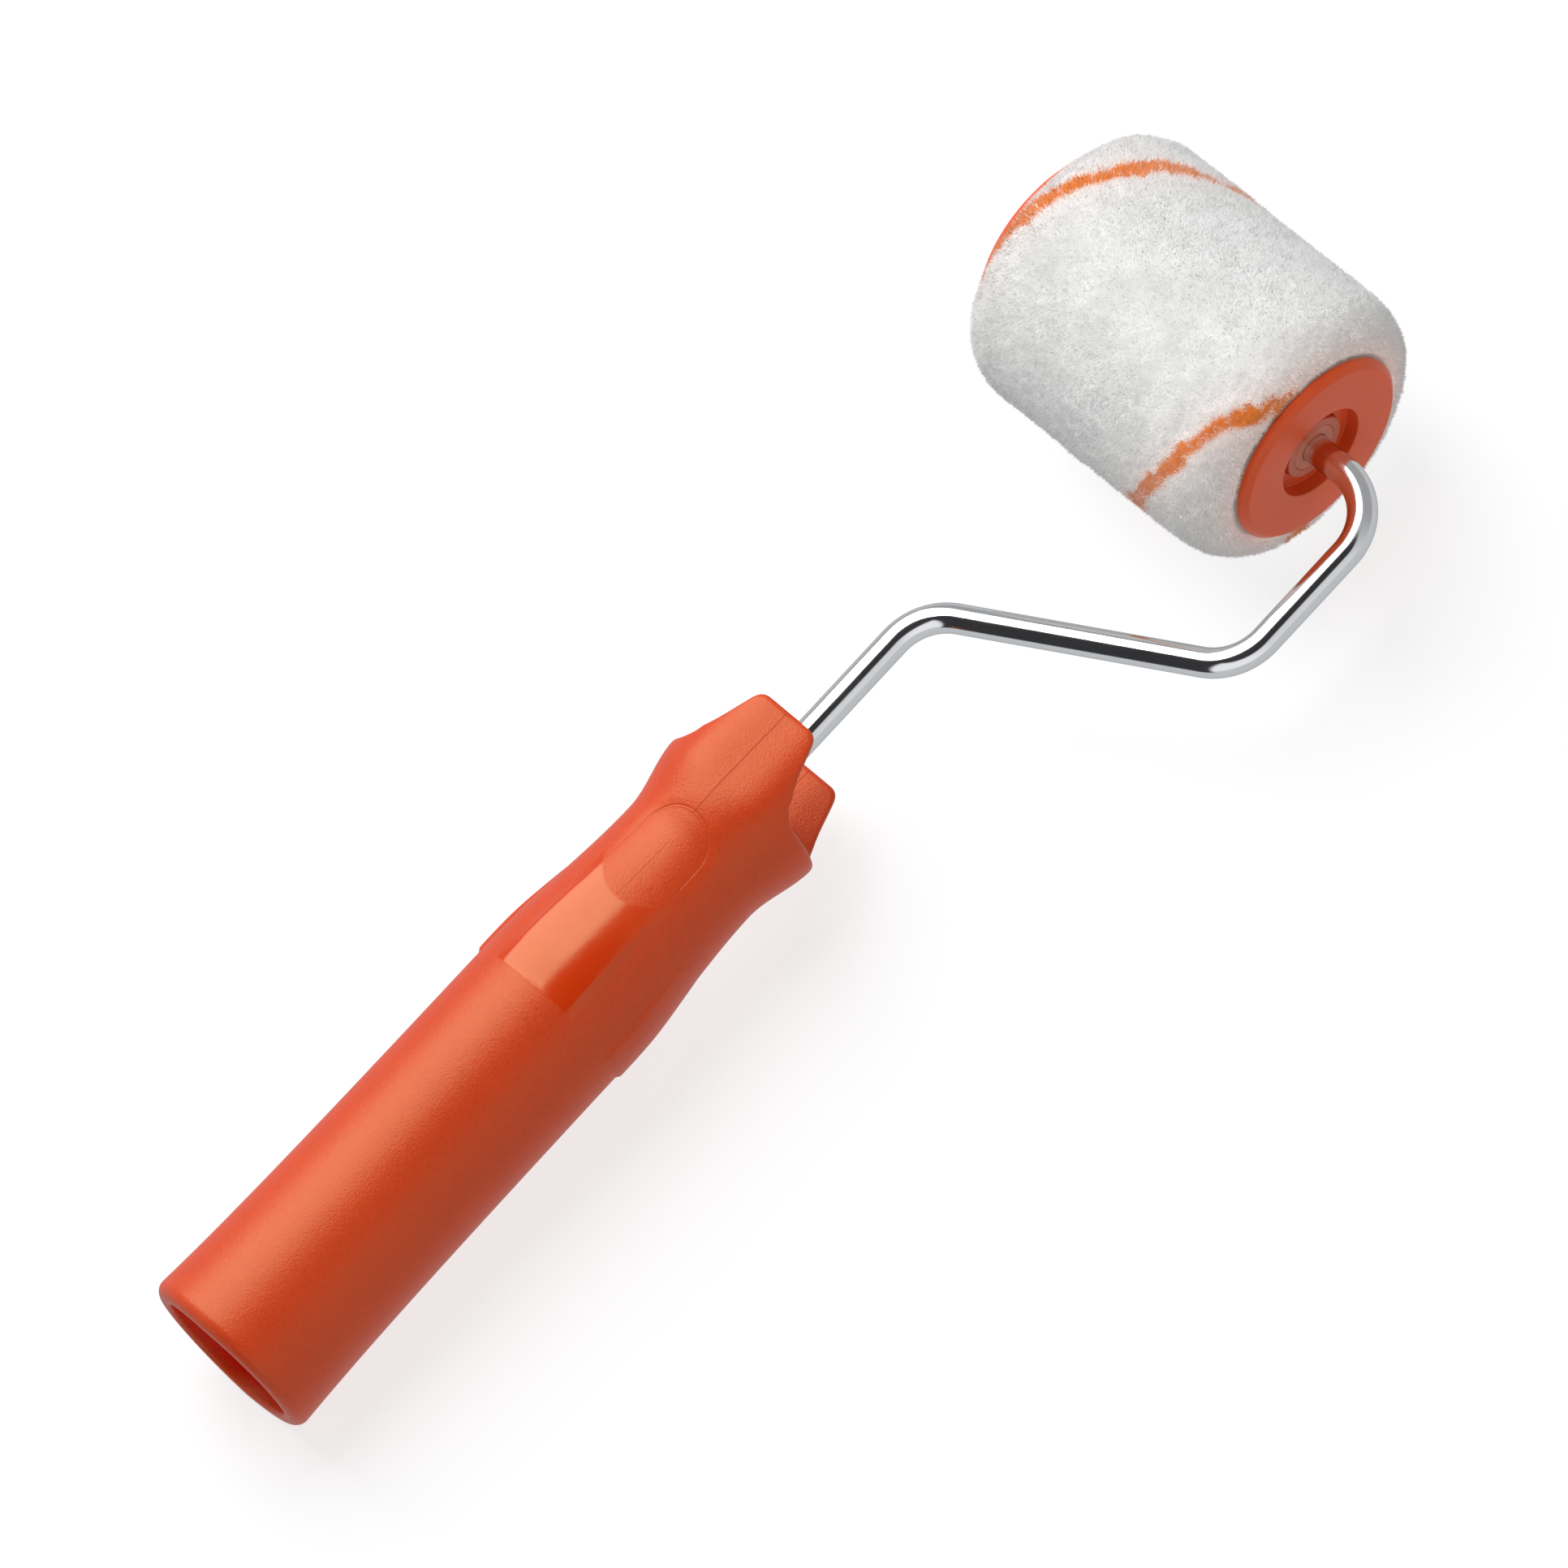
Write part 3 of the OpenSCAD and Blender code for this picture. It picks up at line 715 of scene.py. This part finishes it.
def tuft_bundle(name, low, high, seed):
    """Fine tufts rooted in the pile between two angles. Each is a three-sided spike
    that leans with its neighbours by a smooth field and a little by chance, and its
    tip reaches the trimmed height."""
    rng, row = np.random.default_rng(seed), np.arange(nap_rows)
    area = np.concatenate([[0], np.cumsum(0.5 * (edge_r[1:] + edge_r[:-1]))])
    s = np.interp(rng.uniform(0, area[-1], tufts_each), area, np.linspace(0, 1, nap_rows))
    a = rng.uniform(low, high, tufts_each)
    place = s * (nap_rows - 1)
    x, r = np.interp(place, row, edge_x), np.interp(place, row, edge_r)
    n = np.stack([np.interp(place, row, edge_n[:, i]) for i in (0, 1)], axis=1)
    out = np.stack([n[:, 0], n[:, 1] * np.cos(a), n[:, 1] * np.sin(a)], axis=1)
    round_way = np.stack([np.zeros_like(a), -np.sin(a), np.cos(a)], axis=1)
    along_way = np.cross(out, round_way)
    lean_a = 0.3 * lumps(a, s, 110, 50, 11) + 0.1 * lumps(a, s, 20, 9, 12)
    lean_a = lean_a + rng.normal(0, tuft_scatter, tufts_each)
    lean_s = 0.3 * lumps(a, s, 110, 50, 13) + 0.1 * lumps(a, s, 20, 9, 14)
    lean_s = lean_s + rng.normal(0, tuft_scatter, tufts_each)
    lean = lean_a[:, None] * round_way + lean_s[:, None] * along_way
    top = pile_height(a, s) * 0.8 + rng.normal(-0.25, 0.2, tufts_each)
    spot = around(a, x, r)
    root = spot + out * (top - tuft_long)[:, None] - 0.2 * lean
    tip = spot + out * top[:, None] + 0.8 * lean
    thick = rng.uniform(tuft_thin, tuft_thick, tufts_each)[:, None]
    first = rng.uniform(0, 2 * math.pi, tufts_each)
    points = np.empty((tufts_each, 4, 3))
    for k in range(3):
        t = (first + k * 2 * math.pi / 3)[:, None]
        points[:, k] = root + thick * (np.cos(t) * round_way + np.sin(t) * along_way)
    points[:, 3] = tip
    tris = np.array([[0, 1, 3], [1, 2, 3], [2, 0, 3], [2, 1, 0]])
    loops = tris + (np.arange(tufts_each) * 4)[:, None, None]
    mesh = bpy.data.meshes.new(name)
    mesh.vertices.add(tufts_each * 4)
    mesh.vertices.foreach_set("co", (points * MM).astype(np.float32).ravel())
    mesh.loops.add(loops.size)
    mesh.loops.foreach_set("vertex_index", loops.ravel().astype(np.int32))
    mesh.polygons.add(tufts_each * 4)
    mesh.polygons.foreach_set("loop_start", np.arange(0, tufts_each * 12, 3, dtype=np.int32))
    mesh.polygons.foreach_set("use_smooth", np.ones(tufts_each * 4, bool))
    mesh.update(calc_edges=True)
    soft = out * 2.2 + lean * 0.8
    soft /= np.linalg.norm(soft, axis=1, keepdims=True)
    mesh.normals_split_custom_set_from_vertices(np.repeat(soft, 4, axis=0).tolist())
    made = bpy.data.objects.new(name, mesh)
    bpy.context.scene.collection.objects.link(made)
    share, near = yarn_share(a, s, x)
    dyed = (rng.uniform(0, 1, tufts_each) < share).astype(float)
    for key, value in (("yarn", dyed), ("warm", blush(near, x, r))):
        paint(made, key, np.repeat(value, 4))
    # Each tuft's tone differs at random, and its root is painted darker than its tip: painted shade of the tufts
    # on one another.
    light = rng.uniform(0.45, 1.0, tufts_each) + 0.12 * lumps(a, s, 130, 70, 3)
    paint(made, "tone", np.clip(light[:, None] * np.array([0.2, 0.2, 0.2, 1.0]), 0, 1))
    return made


# Painted light: the pile glows faintly in its own colour, which lifts its shaded sides.
pile = Finish("pile", Roughness=0.95, Sheen_Weight=0.5, Sheen_Roughness=0.6, Specular_IOR_Level=0.2,
              Emission_Strength=0.30)
spot = pile.where()
yarn, warm, tone = (pile.node("Attribute", {"attribute_name": key}, out="Fac")
                    for key in ("yarn", "warm", "tone"))
fine = pile.grain(spot, 900.0, 3.0, 0.6)
# Low tone gives the dark grey end: the painted shade at the tufts' roots and in the under-layer.
white = pile.colour(tone * 0.8 + fine * 0.2, (0.44, 0.442, 0.434), (0.90, 0.902, 0.886))
# Warm tint: pink beside the marker yarn, and painted orange bounce light from the caps on the pile next to them.
white = pile.colour(warm, white, (0.94, 0.64, 0.55))
dye = pile.colour(tone * 0.7 + fine * 0.3, (0.52, 0.080, 0.002), (0.82, 0.23, 0.012))
shade = pile.colour(yarn, white, dye)
pile.feed("Base Color", shade)
# The same colour feeds the painted glow.
pile.feed("Emission Color", shade)
pile.bump(fine, 0.3, 0.0002)
under.data.materials.append(pile.made)
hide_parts("nap_pile")
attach(under, "cover")
for k in range(bundles):
    low, high = (j * 2 * math.pi / bundles for j in (k, k + 1))
    tuft = tuft_bundle(f"nap_tufts_{k + 1}", low, high, pile_seed + k)
    tuft.data.materials.append(pile.made)
    tuft.visible_shadow = tuft.visible_diffuse = False
    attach(tuft, "cover")

low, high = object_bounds()
